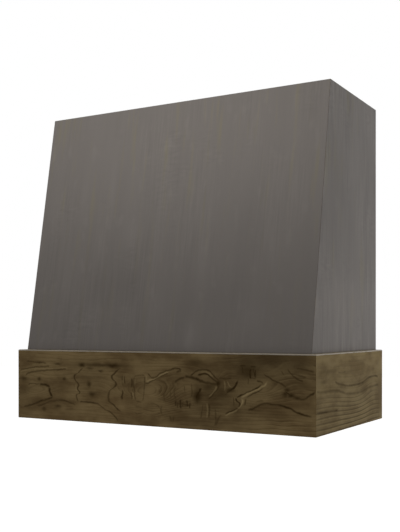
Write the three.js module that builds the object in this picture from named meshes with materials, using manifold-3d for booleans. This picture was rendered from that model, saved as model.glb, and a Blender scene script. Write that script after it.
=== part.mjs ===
// Wooden range hood cover: a mitred plywood body with a sloped front, a band of figured wood round its foot,
// a shelf for a vent insert, a top panel for the duct, and a French cleat that hangs it on the wall.
// Millimetres, +Z up, +X to the right of someone facing the cover, the wall in the plane y = 0.
import * as THREE from "three";
import { mergeVertices } from "three/addons/utils/BufferGeometryUtils.js";
import Module from "manifold-3d";

const wasm = await Module();
wasm.setup();

// ---------------------------------------------------------------- driving sizes

// Body, measured outside.
const bodyWidth = 914.4;
const bodyHeight = 914.4;
const bodyDepth = 495.3; // wall to the front, behind the band
const topDepth = 368.3; // wall to the front, at the top
const panelThickness = 19.05;

// Band round the foot of the body.
const bandHeight = 203.2;
const bandThickness = 19.05;
const bandEase = 3.175; // radius on the band's outer top edge

// Panels and battens inside.
const carcassThickness = 19.05;
const housingDepth = 9.525; // dadoes, rabbets and notches in the side panels
const shelfRecess = 25.4; // bottom edge of the body to the underside of the insert shelf
const shelfTongue = 12.7; // thickness of the shelf's ends, which are rebated from below
const battenSize = 19.05;
const cornerBlockLeg = 38.1;
const cornerBlockLength = 114.3;
const glueBlockLeg = 31.75;
const glueBlockLength = 76.2;
const glueBlockInset = 50.8; // side panel to the outer glue blocks
const stiffenerWidth = 63.5;
const stiffenerThickness = 19.05;
const stiffenerRise = 342.9; // bend of the front to the stiffener's middle, along the slope

// Openings cut by a router.
const insertCutoutWidth = 723.9;
const insertCutoutDepth = 342.9;
const ductCutoutWidth = 254.0;
const ductCutoutDepth = 254.0;
const routerRadius = 9.525;
const overrun = 25.0; // how far a cutter passes the face it leaves

// French cleat and lower rail.
const railThickness = 19.05;
const hoodCleatHeight = 88.9;
const wallCleatHeight = 88.9;
const wallCleatPlay = 12.7; // free space between the wall cleat's ends and the side panels
const lowerRailHeight = 139.7;
const studSpacing = 406.4;
const wallScrewRadius = 3.5;
const wallScrewHeadRadius = 7.0;
const wallScrewRowSpacing = 38.1;

// Splines and biscuits in the mitres.
const splineWidth = 12.7;
const splineThickness = 3.175;
const splineStart = 25.4; // bend of the front to the spline's lower end, along the slope
const splineCover = 2.5; // wood between the spline and the inner face
const biscuitLength = 38.0;
const biscuitWidth = 12.0;
const biscuitThickness = 3.0;
const biscuitCover = 2.0;
const biscuitEdge = 50.8; // band's top and bottom edges to the biscuits' middles

// Wood screws.
const screwRadius = 2.1;
const screwTip = 6.0;
const washerHeadRadius = 5.5;
const washerHeadHeight = 2.6;
const sunkHeadRadius = 4.2;
const sunkHeadHeight = 2.6;
const bandScrewLength = 31.75;
const bandScrewInset = 120.0; // nearest inside corner to the screw columns
const bandScrewEdge = 38.1; // shelf and band top to the screw rows
const cleatScrewLength = 50.8;
const cleatScrewInset = 76.2;
const cleatScrewCount = 4;
const endScrewLength = 44.45;
const endScrewEdge = 22.225; // rail's upper and lower edges to its end screws
const drillOverrun = 1.0; // how far a drill starts above the face it enters

// Flat sides that stand for a curve: a screw's or a hole's full turn, a quarter turn of the band's eased edge
// or of a window's corner, and a biscuit's edge.
const screwSides = 12;
const wallHoleSides = 20;
const easeSides = 4;
const windowCornerSides = 6;
const biscuitEdgeSides = 8;

// Clearances.
const glueGap = 0.3; // between slanting faces that are glued
const fitGap = 0.3; // round screws, splines and biscuits in their holes

// ---------------------------------------------------------------- sizes that follow

const halfWidth = bodyWidth / 2;
const innerHalfWidth = halfWidth - panelThickness;
const bendHeight = bandHeight;
const slope = Math.atan2(bodyDepth - topDepth, bodyHeight - bendHeight);
const slopeLength = Math.hypot(bodyDepth - topDepth, bodyHeight - bendHeight);
const frontInside = -bodyDepth + panelThickness; // inner face of the upright lower front
const topPanelUnderside = bodyHeight - carcassThickness;
const shelfTop = shelfRecess + carcassThickness;
const hoodCleatTip = topPanelUnderside - hoodCleatHeight;
const cleatGapUpright = glueGap * Math.SQRT2; // the bevels are at 45 degrees
const wallCleatTop = hoodCleatTip + railThickness - cleatGapUpright;
const wallCleatBottom = wallCleatTop - wallCleatHeight;
const wallCleatBackTop = wallCleatTop - railThickness;
const wallCleatMiddle = (wallCleatBottom + wallCleatBackTop) / 2;

// ---------------------------------------------------------------- materials

function finish(colour, roughness, metalness = 0) {
  return new THREE.MeshStandardMaterial({ color: colour, roughness, metalness });
}

const greyStainedMaple = finish(0x68635e, 0.55);
const brownStainedMaple = finish(0x54452f, 0.5);
const birchPlywood = finish(0xc9a877, 0.7);
const poplar = finish(0xb7a27c, 0.75);
const beech = finish(0xc99a6b, 0.7);
const zincSteel = finish(0xb4b6b8, 0.35, 0.9);

// ---------------------------------------------------------------- shapes and solids

// A closed geometry as a solid that can be cut.
function toSolid(geometry) {
  const bare = geometry.clone();
  bare.deleteAttribute("normal");
  bare.deleteAttribute("uv");
  const merged = mergeVertices(bare, 1e-4);
  return new wasm.Manifold(
    new wasm.Mesh({
      numProp: 3,
      vertProperties: merged.attributes.position.array,
      triVerts: new Uint32Array(merged.index.array),
    }),
  );
}

// The solid's triangles as a geometry with flat faces.
function toGeometry(solid) {
  const mesh = solid.getMesh();
  const corners = new THREE.BufferAttribute(new Float32Array(mesh.vertProperties), 3);
  const indexed = new THREE.BufferGeometry().setAttribute("position", corners);
  indexed.setIndex(new THREE.BufferAttribute(new Uint32Array(mesh.triVerts), 1));
  const flat = indexed.toNonIndexed();
  flat.computeVertexNormals();
  return flat;
}

// The geometry with every tool's shape cut out of it.
function cut(geometry, ...tools) {
  const solid = tools.reduce((rest, tool) => rest.subtract(toSolid(tool)), toSolid(geometry));
  return toGeometry(solid);
}

// The geometry's mirror image in the plane x = 0, with its faces still turned outwards.
function mirrored(geometry) {
  const copy = geometry.index ? geometry.toNonIndexed() : geometry.clone();
  copy.scale(-1, 1, 1);
  const place = copy.attributes.position;
  for (let corner = 0; corner < place.count; corner += 3) {
    const second = new THREE.Vector3().fromBufferAttribute(place, corner + 1);
    const third = new THREE.Vector3().fromBufferAttribute(place, corner + 2);
    place.setXYZ(corner + 1, third.x, third.y, third.z);
    place.setXYZ(corner + 2, second.x, second.y, second.z);
  }
  copy.computeVertexNormals();
  return copy;
}

// A closed outline from corner points.
function outline(points) {
  return new THREE.Shape(points.map(([a, b]) => new THREE.Vector2(a, b)));
}

// An outline drawn out along Z, from the plane z = 0.
function extruded(shape, depth, curveSegments = 1) {
  return new THREE.ExtrudeGeometry(shape, { depth, bevelEnabled: false, curveSegments });
}

// A profile turned about the Y axis. Its points give the radius and the height, from the lowest up.
function turned(profile, sides) {
  return new THREE.LatheGeometry(
    profile.map(([radius, height]) => new THREE.Vector2(radius, height)),
    sides,
  );
}

// An outline in the (y, z) plane, drawn out along X.
function alongX(shape, from, to) {
  const bar = extruded(shape, to - from);
  const turn = new THREE.Matrix4().makeBasis(
    new THREE.Vector3(0, 1, 0),
    new THREE.Vector3(0, 0, 1),
    new THREE.Vector3(1, 0, 0),
  );
  return bar.applyMatrix4(turn).translate(from, 0, 0);
}

// An outline in the (x, y) plane, drawn out along Z.
function alongZ(shape, from, to) {
  return extruded(shape, to - from, windowCornerSides).translate(0, 0, from);
}

// A box between two opposite corners.
function block([x0, y0, z0], [x1, y1, z1]) {
  const box = new THREE.BoxGeometry(x1 - x0, y1 - y0, z1 - z0);
  return box.translate((x0 + x1) / 2, (y0 + y1) / 2, (z0 + z1) / 2);
}

// A rectangle with round corners, centred on a point of the (x, y) plane.
function routedWindow(middleX, middleY, width, depth) {
  const x = width / 2 - routerRadius;
  const y = depth / 2 - routerRadius;
  const quarter = Math.PI / 2;
  const path = new THREE.Shape();
  path.absarc(middleX + x, middleY + y, routerRadius, 0, quarter);
  path.absarc(middleX - x, middleY + y, routerRadius, quarter, 2 * quarter);
  path.absarc(middleX - x, middleY - y, routerRadius, 2 * quarter, 3 * quarter);
  path.absarc(middleX + x, middleY - y, routerRadius, 3 * quarter, 4 * quarter);
  path.closePath();
  return path;
}

// The slope's unit directions in the (y, z) plane: up along the front, and square to it into the body.
const slopeUp = [Math.sin(slope), Math.cos(slope)];
const slopeIn = [Math.cos(slope), -Math.sin(slope)];

// A point of the (y, z) plane, given along the slope from the bend and inwards from the front's outer face.
function onSlope(up, inwards) {
  return [
    -bodyDepth + up * slopeUp[0] + inwards * slopeIn[0],
    bendHeight + up * slopeUp[1] + inwards * slopeIn[1],
  ];
}

// How far from the wall a plane parallel to the front lies at one height.
function slopeDepthAt(height, inwards) {
  return -bodyDepth + (height - bendHeight) * Math.tan(slope) + inwards / Math.cos(slope);
}

// The bend's mitre, where the sloped and the upright front meet, at a distance inside the outer face.
function onBend(inwards) {
  return [-bodyDepth + inwards, bendHeight - inwards * Math.tan(slope / 2)];
}

// ---------------------------------------------------------------- mitred corners

// Places an outline that is drawn in a corner's own section. Its first axis runs inwards from the front face,
// its second inwards from the side face, and it is drawn out upwards along the corner's edge, which leans back
// by lean. The corner is the right-hand one.
function alongCorner(shape, corner, lean, from, to) {
  const bar = extruded(shape, to - from);
  const place = new THREE.Matrix4().makeBasis(
    new THREE.Vector3(0, Math.cos(lean), -Math.sin(lean)),
    new THREE.Vector3(-1, 0, 0),
    new THREE.Vector3(0, Math.sin(lean), Math.cos(lean)),
  );
  place.setPosition(corner);
  return bar.translate(0, 0, from).applyMatrix4(place);
}

// What a mitre saw takes off the front piece (or, turned over, off the side piece) at a corner of 90 degrees.
// Each piece gives up half of the glue gap.
function mitreWaste(thickness, sidePiece) {
  const gap = glueGap / Math.SQRT2;
  const near = -thickness;
  const far = 3 * thickness;
  const points = [
    [near, near + gap],
    [far, near + gap],
    [far, far + gap],
  ];
  return outline(sidePiece ? points.map(([a, b]) => [b, a]) : points);
}

// A strip that lies across the mitre, centred on it: a spline, or the kerf that takes it.
function mitreStrip(width, thickness, setIn) {
  const across = width / 2 / Math.SQRT2;
  const through = thickness / 2 / Math.SQRT2;
  return outline([
    [setIn + across + through, setIn - across + through],
    [setIn - across + through, setIn + across + through],
    [setIn - across - through, setIn + across - through],
    [setIn + across - through, setIn - across - through],
  ]);
}

// How far the middle of a strip lies inside the outer faces, with some wood left behind it.
function stripSetIn(stock, cover, width, thickness) {
  return stock - cover - (width + thickness) / 2 / Math.SQRT2;
}

const bendCorner = new THREE.Vector3(halfWidth, -bodyDepth, bendHeight);
const beyondTop = slopeLength + overrun;

function slopedMitreWaste(sidePiece) {
  return alongCorner(mitreWaste(panelThickness, sidePiece), bendCorner, slope, -overrun, beyondTop);
}

function uprightMitreWaste(sidePiece) {
  const waste = mitreWaste(panelThickness, sidePiece);
  return alongCorner(waste, bendCorner, 0, -bendHeight - overrun, overrun);
}

// A spline for the long mitre, grown on every side by a clearance. It runs out at the top of the body.
function cornerSplineBlank(clearance) {
  const setIn = stripSetIn(panelThickness, splineCover, splineWidth, splineThickness);
  const strip = mitreStrip(splineWidth + 2 * clearance, splineThickness + 2 * clearance, setIn);
  return alongCorner(strip, bendCorner, slope, splineStart - clearance, beyondTop);
}

function cornerSpline() {
  const above = bodyHeight + 2 * overrun;
  const waste = block([0, -bodyDepth, bodyHeight], [bodyWidth, 0, above]);
  return cut(cornerSplineBlank(0), waste);
}

// ---------------------------------------------------------------- screws

// A wood screw, turned about the Y axis, that points along -Y from its seat in the plane y = 0. A sunk head
// lies below its seat, a washer head stands on it.
function screw(length, sunk) {
  const shankTop = sunk ? -sunkHeadHeight : 0;
  const head = sunk
    ? [
        [sunkHeadRadius, 0],
        [0, 0],
      ]
    : [
        [washerHeadRadius, 0],
        [washerHeadRadius, washerHeadHeight / 2],
        [washerHeadRadius / 2, washerHeadHeight],
        [0, washerHeadHeight],
      ];
  const profile = [[0, -length], [screwRadius, screwTip - length], [screwRadius, shankTop], ...head];
  return turned(profile, screwSides);
}

// The hole for such a screw, with a clearance all round.
function screwHole(length, sunk) {
  const radius = screwRadius + fitGap;
  const wide = sunkHeadRadius + fitGap;
  const mouth = sunk
    ? [
        [radius, -sunkHeadHeight],
        [wide, 0],
        [wide, drillOverrun],
      ]
    : [[radius, drillOverrun]];
  const profile = [[0, -length - fitGap], [radius, -length - fitGap], ...mouth, [0, drillOverrun]];
  return turned(profile, screwSides);
}

// Turns a screw or its hole from pointing along -Y to pointing along another direction, and moves its seat.
function aimed(geometry, direction, seat) {
  const asMade = new THREE.Vector3(0, -1, 0);
  const turn = new THREE.Quaternion().setFromUnitVectors(asMade, direction);
  return geometry.applyQuaternion(turn).translate(seat.x, seat.y, seat.z);
}

const downwards = new THREE.Vector3(0, 0, -1);
const forwards = new THREE.Vector3(0, -1, 0);
const backwards = new THREE.Vector3(0, 1, 0);
const rightwards = new THREE.Vector3(1, 0, 0);

// Screws that hold the band, driven outwards from inside the carcass: two rows.
const bandScrewRows = [shelfTop + bandScrewEdge, bandHeight - bandScrewEdge];
const frontScrewColumns = [-1, 0, 1].map((side) => side * (innerHalfWidth - bandScrewInset));
const sideScrewColumns = [frontInside + bandScrewInset, -railThickness - bandScrewInset];
const bandFrontScrewSeats = bandScrewRows.flatMap((z) =>
  frontScrewColumns.map((x) => new THREE.Vector3(x, frontInside, z)),
);
const bandSideScrewSeats = bandScrewRows.flatMap((z) =>
  sideScrewColumns.map((y) => new THREE.Vector3(innerHalfWidth, y, z)),
);

// Screws down through the top panel into the cleat, evenly spaced.
const cleatScrewReach = innerHalfWidth - cleatScrewInset;
const cleatScrewSpacing = (2 * cleatScrewReach) / (cleatScrewCount - 1);
const cleatScrewSeats = Array.from({ length: cleatScrewCount }, (_, index) => {
  const x = index * cleatScrewSpacing - cleatScrewReach;
  return new THREE.Vector3(x, -railThickness / 2, bodyHeight);
});

// Screws through the lapped ends of the cleat and the rail into the side panels' back edges, on the right.
const lapMiddle = innerHalfWidth + housingDepth / 2;
const cleatEndScrewHeights = [hoodCleatTip + railThickness + endScrewEdge, topPanelUnderside - endScrewEdge];
const railEndScrewHeights = [endScrewEdge, lowerRailHeight - endScrewEdge];
const cleatEndScrewSeats = cleatEndScrewHeights.map((z) => new THREE.Vector3(lapMiddle, 0, z));
const railEndScrewSeats = railEndScrewHeights.map((z) => new THREE.Vector3(lapMiddle, 0, z));

function holes(seats, direction, length, sunk) {
  return seats.map((seat) => aimed(screwHole(length, sunk), direction, seat));
}

// The same holes on both sides of the body.
function bothSides(geometries) {
  return [...geometries, ...geometries.map(mirrored)];
}

const frontBandHoles = () => holes(bandFrontScrewSeats, forwards, bandScrewLength, false);
const sideBandHoles = () => holes(bandSideScrewSeats, rightwards, bandScrewLength, false);
const topHoles = () => holes(cleatScrewSeats, downwards, cleatScrewLength, true);
const cleatEndHoles = () => holes(cleatEndScrewSeats, forwards, endScrewLength, true);
const railEndHoles = () => holes(railEndScrewSeats, forwards, endScrewLength, true);

// ---------------------------------------------------------------- body

function frontPanel() {
  const section = outline([
    [-bodyDepth, bendHeight],
    onBend(panelThickness),
    [slopeDepthAt(bodyHeight, panelThickness), bodyHeight],
    [-topDepth, bodyHeight],
  ]);
  const board = alongX(section, -halfWidth, halfWidth);
  return cut(board, ...bothSides([slopedMitreWaste(false), cornerSplineBlank(fitGap)]));
}

function lowerFrontPanel() {
  const [backY, backZ] = onBend(panelThickness);
  const section = outline([
    [-bodyDepth, 0],
    [backY, 0],
    [backY, backZ - glueGap],
    [-bodyDepth, bendHeight - glueGap],
  ]);
  const board = alongX(section, -halfWidth, halfWidth);
  return cut(board, ...bothSides([uprightMitreWaste(false)]), ...frontBandHoles());
}

// The housings in the right side panel: a dado for the shelf's tongue, a rabbet for the top panel, and notches
// at the back for the cleat's and the rail's ends.
function sideHousings() {
  const inner = innerHalfWidth - overrun;
  const deep = innerHalfWidth + housingDepth;
  const shelfDado = block([inner, frontInside, shelfTop - shelfTongue], [deep, -railThickness, shelfTop]);
  const topRabbet = alongX(
    outline([
      [slopeDepthAt(topPanelUnderside, panelThickness), topPanelUnderside],
      [overrun, topPanelUnderside],
      [overrun, bodyHeight + overrun],
      [slopeDepthAt(bodyHeight + overrun, panelThickness), bodyHeight + overrun],
    ]),
    inner,
    deep,
  );
  const cleatNotch = block([inner, -railThickness, hoodCleatTip], [deep, overrun, bodyHeight]);
  const railNotch = block([inner, -railThickness, -overrun], [deep, overrun, lowerRailHeight]);
  return [shelfDado, topRabbet, cleatNotch, railNotch];
}

function rightSidePanel() {
  const shape = outline([
    [0, 0],
    [0, bodyHeight],
    [-topDepth, bodyHeight],
    [-bodyDepth, bendHeight],
    [-bodyDepth, 0],
  ]);
  return cut(
    alongX(shape, innerHalfWidth, halfWidth),
    slopedMitreWaste(true),
    uprightMitreWaste(true),
    cornerSplineBlank(fitGap),
    ...sideHousings(),
    ...sideBandHoles(),
    ...cleatEndHoles(),
    ...railEndHoles(),
  );
}

// ---------------------------------------------------------------- band

// The band's section, with distance inwards from its outer face first: square, but for the eased top edge.
function bandSection(toPlane) {
  const section = new THREE.Shape();
  section.moveTo(...toPlane(bandThickness, 0));
  section.lineTo(...toPlane(bandThickness, bandHeight));
  for (let step = 0; step <= easeSides; step += 1) {
    const angle = (Math.PI / 2) * (step / easeSides);
    const inwards = bandEase * (1 - Math.sin(angle));
    const down = bandEase * (1 - Math.cos(angle));
    section.lineTo(...toPlane(inwards, bandHeight - down));
  }
  section.lineTo(...toPlane(0, 0));
  return section;
}

const bandCorner = new THREE.Vector3(halfWidth + bandThickness, -bodyDepth - bandThickness, 0);

function bandMitreWaste(sidePiece) {
  return alongCorner(mitreWaste(bandThickness, sidePiece), bandCorner, 0, -overrun, bandHeight + overrun);
}

// A biscuit is a thin plate with two curved edges. Its outline is drawn across and up the mitre.
function biscuit(height, clearance) {
  const halfLength = biscuitLength / 2 + clearance;
  const halfBreadth = biscuitWidth / 2 + clearance;
  const radius = (halfLength ** 2 + halfBreadth ** 2) / (2 * halfBreadth);
  const reach = Math.asin(halfLength / radius);
  const plate = new THREE.Shape();
  plate.absarc(halfBreadth - radius, 0, radius, -reach, reach);
  plate.absarc(radius - halfBreadth, 0, radius, Math.PI - reach, Math.PI + reach);
  const thickness = biscuitThickness + 2 * clearance;
  const blank = extruded(plate, thickness, biscuitEdgeSides);
  const setIn = stripSetIn(bandThickness, biscuitCover, biscuitWidth, biscuitThickness);
  const across = new THREE.Vector3(1, 1, 0).normalize();
  const up = new THREE.Vector3(0, 0, 1);
  const through = new THREE.Vector3().crossVectors(across, up);
  const place = new THREE.Matrix4().makeBasis(across, up, through);
  place.setPosition(bandCorner.x - setIn, bandCorner.y + setIn, height);
  return blank.translate(0, 0, -thickness / 2).applyMatrix4(place);
}

const biscuitHeights = { lower: biscuitEdge, upper: bandHeight - biscuitEdge };
const biscuitSlots = () => Object.values(biscuitHeights).map((height) => biscuit(height, fitGap));

function bandFront() {
  const reach = halfWidth + bandThickness;
  const section = bandSection((inwards, height) => [-bodyDepth - bandThickness + inwards, height]);
  const board = alongX(section, -reach, reach);
  return cut(board, ...bothSides([bandMitreWaste(false), ...biscuitSlots()]), ...frontBandHoles());
}

function bandRight() {
  const section = bandSection((inwards, height) => [halfWidth + bandThickness - inwards, height]);
  const board = extruded(section, bodyDepth + bandThickness).rotateX(Math.PI / 2);
  return cut(board, bandMitreWaste(true), ...biscuitSlots(), ...sideBandHoles());
}

// ---------------------------------------------------------------- inside

function topPanel() {
  const inwards = panelThickness + glueGap;
  const section = outline([
    [slopeDepthAt(topPanelUnderside, inwards), topPanelUnderside],
    [0, topPanelUnderside],
    [0, bodyHeight],
    [slopeDepthAt(bodyHeight, inwards), bodyHeight],
  ]);
  const reach = innerHalfWidth + housingDepth;
  const middle = (slopeDepthAt(topPanelUnderside, inwards) - railThickness) / 2;
  const window = routedWindow(0, middle, ductCutoutWidth, ductCutoutDepth);
  const plug = alongZ(window, topPanelUnderside - overrun, bodyHeight + overrun);
  return cut(alongX(section, -reach, reach), plug, ...topHoles());
}

// The shelf's ends are rebated from below, and the tongues that are left lie in the side panels' dadoes.
function insertShelf() {
  const reach = innerHalfWidth + housingDepth;
  const shape = outline([
    [-reach, frontInside],
    [reach, frontInside],
    [reach, -railThickness],
    [-reach, -railThickness],
  ]);
  const middle = (frontInside - railThickness) / 2;
  shape.holes.push(routedWindow(0, middle, insertCutoutWidth, insertCutoutDepth));
  const rebate = block(
    [innerHalfWidth, -bodyDepth, shelfRecess - overrun],
    [reach + overrun, 0, shelfTop - shelfTongue],
  );
  return cut(alongZ(shape, shelfRecess, shelfTop), ...bothSides([rebate]));
}

// A batten glued in the angle between the shelf and the front or the back rail. It lies above the shelf, so
// the shelf's underside stays clear for the insert's flange.
function shelfBatten(front) {
  const y = front ? frontInside : -railThickness - battenSize;
  const reach = front ? innerHalfWidth - cornerBlockLeg - fitGap : innerHalfWidth;
  return block([-reach, y, shelfTop], [reach, y + battenSize, shelfTop + battenSize]);
}

// A three-sided glue block that stands on the shelf in the right-hand lower corner.
function cornerBlock() {
  const shape = outline([
    [innerHalfWidth, frontInside],
    [innerHalfWidth, frontInside + cornerBlockLeg],
    [innerHalfWidth - cornerBlockLeg, frontInside],
  ]);
  return alongZ(shape, shelfTop, shelfTop + cornerBlockLength);
}

// A three-sided glue block under the top panel, against the sloped front.
function topGlueBlock(middle) {
  const inwards = panelThickness + glueGap;
  const cornerY = slopeDepthAt(topPanelUnderside, inwards);
  const section = outline([
    [cornerY, topPanelUnderside],
    [cornerY + glueBlockLeg, topPanelUnderside],
    [cornerY - glueBlockLeg * slopeUp[0], topPanelUnderside - glueBlockLeg * slopeUp[1]],
  ]);
  return alongX(section, middle - glueBlockLength / 2, middle + glueBlockLength / 2);
}

function frontStiffener() {
  const low = stiffenerRise - stiffenerWidth / 2;
  const high = stiffenerRise + stiffenerWidth / 2;
  const near = panelThickness + glueGap;
  const far = near + stiffenerThickness;
  const section = outline([onSlope(low, near), onSlope(low, far), onSlope(high, far), onSlope(high, near)]);
  return alongX(section, -innerHalfWidth, innerHalfWidth);
}

// ---------------------------------------------------------------- French cleat and lower rail

// The upper half hooks down behind the lower one: its bevel drops towards the wall.
function hoodCleat() {
  const section = outline([
    [0, hoodCleatTip],
    [0, topPanelUnderside],
    [-railThickness, topPanelUnderside],
    [-railThickness, hoodCleatTip + railThickness],
  ]);
  const reach = innerHalfWidth + housingDepth;
  return cut(alongX(section, -reach, reach), ...topHoles(), ...bothSides(cleatEndHoles()));
}

// The hole for a wall screw, sunk from the room side.
function wallScrewHole(x, z) {
  const sink = wallScrewHeadRadius - wallScrewRadius;
  const profile = [
    [0, -railThickness - drillOverrun],
    [wallScrewRadius, -railThickness - drillOverrun],
    [wallScrewRadius, -sink],
    [wallScrewHeadRadius, 0],
    [wallScrewHeadRadius, drillOverrun],
    [0, drillOverrun],
  ];
  return aimed(turned(profile, wallHoleSides), backwards, new THREE.Vector3(x, -railThickness, z));
}

function wallScrewHoles(heights) {
  return [-studSpacing / 2, studSpacing / 2].flatMap((x) => heights.map((z) => wallScrewHole(x, z)));
}

function wallCleat() {
  const section = outline([
    [0, wallCleatBottom],
    [0, wallCleatBackTop],
    [-railThickness, wallCleatTop],
    [-railThickness, wallCleatBottom],
  ]);
  const reach = innerHalfWidth - wallCleatPlay;
  const rows = [-1, 1].map((side) => wallCleatMiddle + (side * wallScrewRowSpacing) / 2);
  return cut(alongX(section, -reach, reach), ...wallScrewHoles(rows));
}

function lowerBackRail() {
  const reach = innerHalfWidth + housingDepth;
  const board = block([-reach, -railThickness, 0], [reach, 0, lowerRailHeight]);
  const row = (shelfTop + lowerRailHeight) / 2;
  return cut(board, ...wallScrewHoles([row]), ...bothSides(railEndHoles()));
}

// ---------------------------------------------------------------- assembly

const body = new THREE.Group();

function add(name, geometry, material) {
  const mesh = new THREE.Mesh(geometry, material);
  mesh.name = name;
  body.add(mesh);
}

// The right-hand piece as made, and its mirror image as the left-hand one.
function addPair(nameOf, geometry, material) {
  add(nameOf("right"), geometry, material);
  add(nameOf("left"), mirrored(geometry), material);
}

add("front_panel", frontPanel(), greyStainedMaple);
add("lower_front_panel", lowerFrontPanel(), birchPlywood);
addPair((side) => `${side}_side_panel`, rightSidePanel(), greyStainedMaple);
addPair((side) => `${side}_corner_spline`, cornerSpline(), beech);

add("band_front", bandFront(), brownStainedMaple);
addPair((side) => `band_${side}`, bandRight(), brownStainedMaple);
for (const [level, height] of Object.entries(biscuitHeights)) {
  addPair((side) => `${side}_band_biscuit_${level}`, biscuit(height, 0), beech);
}

add("top_panel", topPanel(), birchPlywood);
add("insert_shelf", insertShelf(), birchPlywood);
add("shelf_batten_front", shelfBatten(true), poplar);
add("shelf_batten_back", shelfBatten(false), poplar);
add("front_stiffener", frontStiffener(), poplar);
addPair((side) => `corner_block_${side}`, cornerBlock(), poplar);
const outerGlueBlock = innerHalfWidth - glueBlockInset - glueBlockLength / 2;
add("top_glue_block_middle", topGlueBlock(0), poplar);
addPair((side) => `top_glue_block_${side}`, topGlueBlock(outerGlueBlock), poplar);

add("hood_cleat", hoodCleat(), poplar);
add("wall_cleat", wallCleat(), poplar);
add("lower_back_rail", lowerBackRail(), poplar);

cleatScrewSeats.forEach((seat, index) => {
  add(`cleat_screw_${index + 1}`, aimed(screw(cleatScrewLength, true), downwards, seat), zincSteel);
});
cleatEndScrewSeats.forEach((seat, index) => {
  const endScrew = aimed(screw(endScrewLength, true), forwards, seat);
  addPair((side) => `cleat_end_screw_${side}_${index + 1}`, endScrew, zincSteel);
});
railEndScrewSeats.forEach((seat, index) => {
  const endScrew = aimed(screw(endScrewLength, true), forwards, seat);
  addPair((side) => `rail_end_screw_${side}_${index + 1}`, endScrew, zincSteel);
});
bandFrontScrewSeats.forEach((seat, index) => {
  add(`band_front_screw_${index + 1}`, aimed(screw(bandScrewLength, false), forwards, seat), zincSteel);
});
bandSideScrewSeats.forEach((seat, index) => {
  const sideScrew = aimed(screw(bandScrewLength, false), rightwards, seat);
  addPair((side) => `band_${side}_screw_${index + 1}`, sideScrew, zincSteel);
});

// The cover hangs from the wall, so its origin is the middle of the wall cleat's back face.
body.position.z = -wallCleatMiddle;

const hoodCover = new THREE.Group();
hoodCover.add(body);

export default hoodCover;
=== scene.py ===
# %% [markdown]
# # A wooden range hood cover
# The cover is a plywood body with a sloped front, stained grey, and a band of dark figured maple round
# its foot. The construction is already done to real size, so this script only gives each board its
# finish, and it never moves or resizes one. Everything is in metres: +Z is up, the front faces -Y, and
# the wall is the plane y = 0.

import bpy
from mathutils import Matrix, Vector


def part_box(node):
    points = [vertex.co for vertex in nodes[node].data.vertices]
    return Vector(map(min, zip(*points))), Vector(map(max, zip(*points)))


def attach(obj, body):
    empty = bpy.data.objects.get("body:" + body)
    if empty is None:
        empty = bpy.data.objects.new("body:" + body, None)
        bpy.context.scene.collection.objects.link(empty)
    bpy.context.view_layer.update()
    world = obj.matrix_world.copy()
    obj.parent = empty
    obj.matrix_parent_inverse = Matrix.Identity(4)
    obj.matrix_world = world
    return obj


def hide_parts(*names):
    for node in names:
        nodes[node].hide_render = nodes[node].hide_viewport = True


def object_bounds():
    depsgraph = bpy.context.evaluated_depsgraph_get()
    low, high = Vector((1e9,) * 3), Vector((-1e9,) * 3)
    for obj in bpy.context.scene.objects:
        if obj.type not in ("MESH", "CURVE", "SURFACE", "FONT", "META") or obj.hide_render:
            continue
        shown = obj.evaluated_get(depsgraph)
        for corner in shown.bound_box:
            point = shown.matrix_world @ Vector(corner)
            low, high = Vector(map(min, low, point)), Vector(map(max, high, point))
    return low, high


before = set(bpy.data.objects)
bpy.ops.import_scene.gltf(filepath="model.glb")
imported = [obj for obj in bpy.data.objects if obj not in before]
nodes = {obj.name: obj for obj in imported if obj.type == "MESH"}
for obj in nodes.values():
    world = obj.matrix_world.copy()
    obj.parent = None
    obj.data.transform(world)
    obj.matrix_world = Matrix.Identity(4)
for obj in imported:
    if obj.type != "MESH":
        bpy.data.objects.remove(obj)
built_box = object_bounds()
print("built box:", [tuple(round(value, 4) for value in corner) for corner in built_box])

# %% Tools that every cell uses
import math

import bmesh
import bpy
from mathutils import Vector

BODY = "root"


def placed(name, data):
    """An object of the scene made from a mesh, a lamp or a camera."""
    thing = bpy.data.objects.new(name, data)
    bpy.context.collection.objects.link(thing)
    return thing


# %% [markdown]
# ## Camera
# The photograph was taken level, a little above the band and to the right of the middle. A level camera
# keeps upright edges parallel, and a small vertical shift frames the cover, as a product photographer
# does with a view camera.

# %% Place the camera
PHOTO_SIZE = (400, 532)  # pixels
FOCAL_PIXELS = 852.49
HORIZON_PIXEL = 327.97  # row of the horizon, from the top
CAMERA_PLACE = Vector((1.2645, -2.4550, -0.5038))
CAMERA_TURN = math.radians(29.8629)  # to the left of straight ahead

camera_data = bpy.data.cameras.new("camera")
camera_data.sensor_width = 36.0
camera_data.lens = FOCAL_PIXELS * camera_data.sensor_width / max(PHOTO_SIZE)
camera_data.shift_y = (HORIZON_PIXEL - PHOTO_SIZE[1] / 2) / max(PHOTO_SIZE)
camera = placed("camera", camera_data)
camera.location = CAMERA_PLACE
camera.rotation_euler = (math.radians(90), 0, CAMERA_TURN)
bpy.context.scene.camera = camera
bpy.context.scene.view_settings.view_transform = "Standard"
print(f"lens {camera_data.lens:.2f} mm, shift {camera_data.shift_y:.4f}")

# %% [markdown]
# ## Writing materials in code
# A node tree is easier to read when each node is one call that returns its output. These helpers make a
# node, wire what it is given, and hand back the socket for the next one. Colours are noted as a screen
# shows them, from 0 to 255, and turned into the linear values that the shader needs.

# %% Helpers for node trees
def linear(*shown):
    """A colour as a screen shows it, 0 to 255, in linear light with full alpha."""
    steps = [value / 255 for value in shown]
    return (*(s / 12.92 if s <= 0.04045 else ((s + 0.055) / 1.055) ** 2.4 for s in steps), 1.0)


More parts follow.
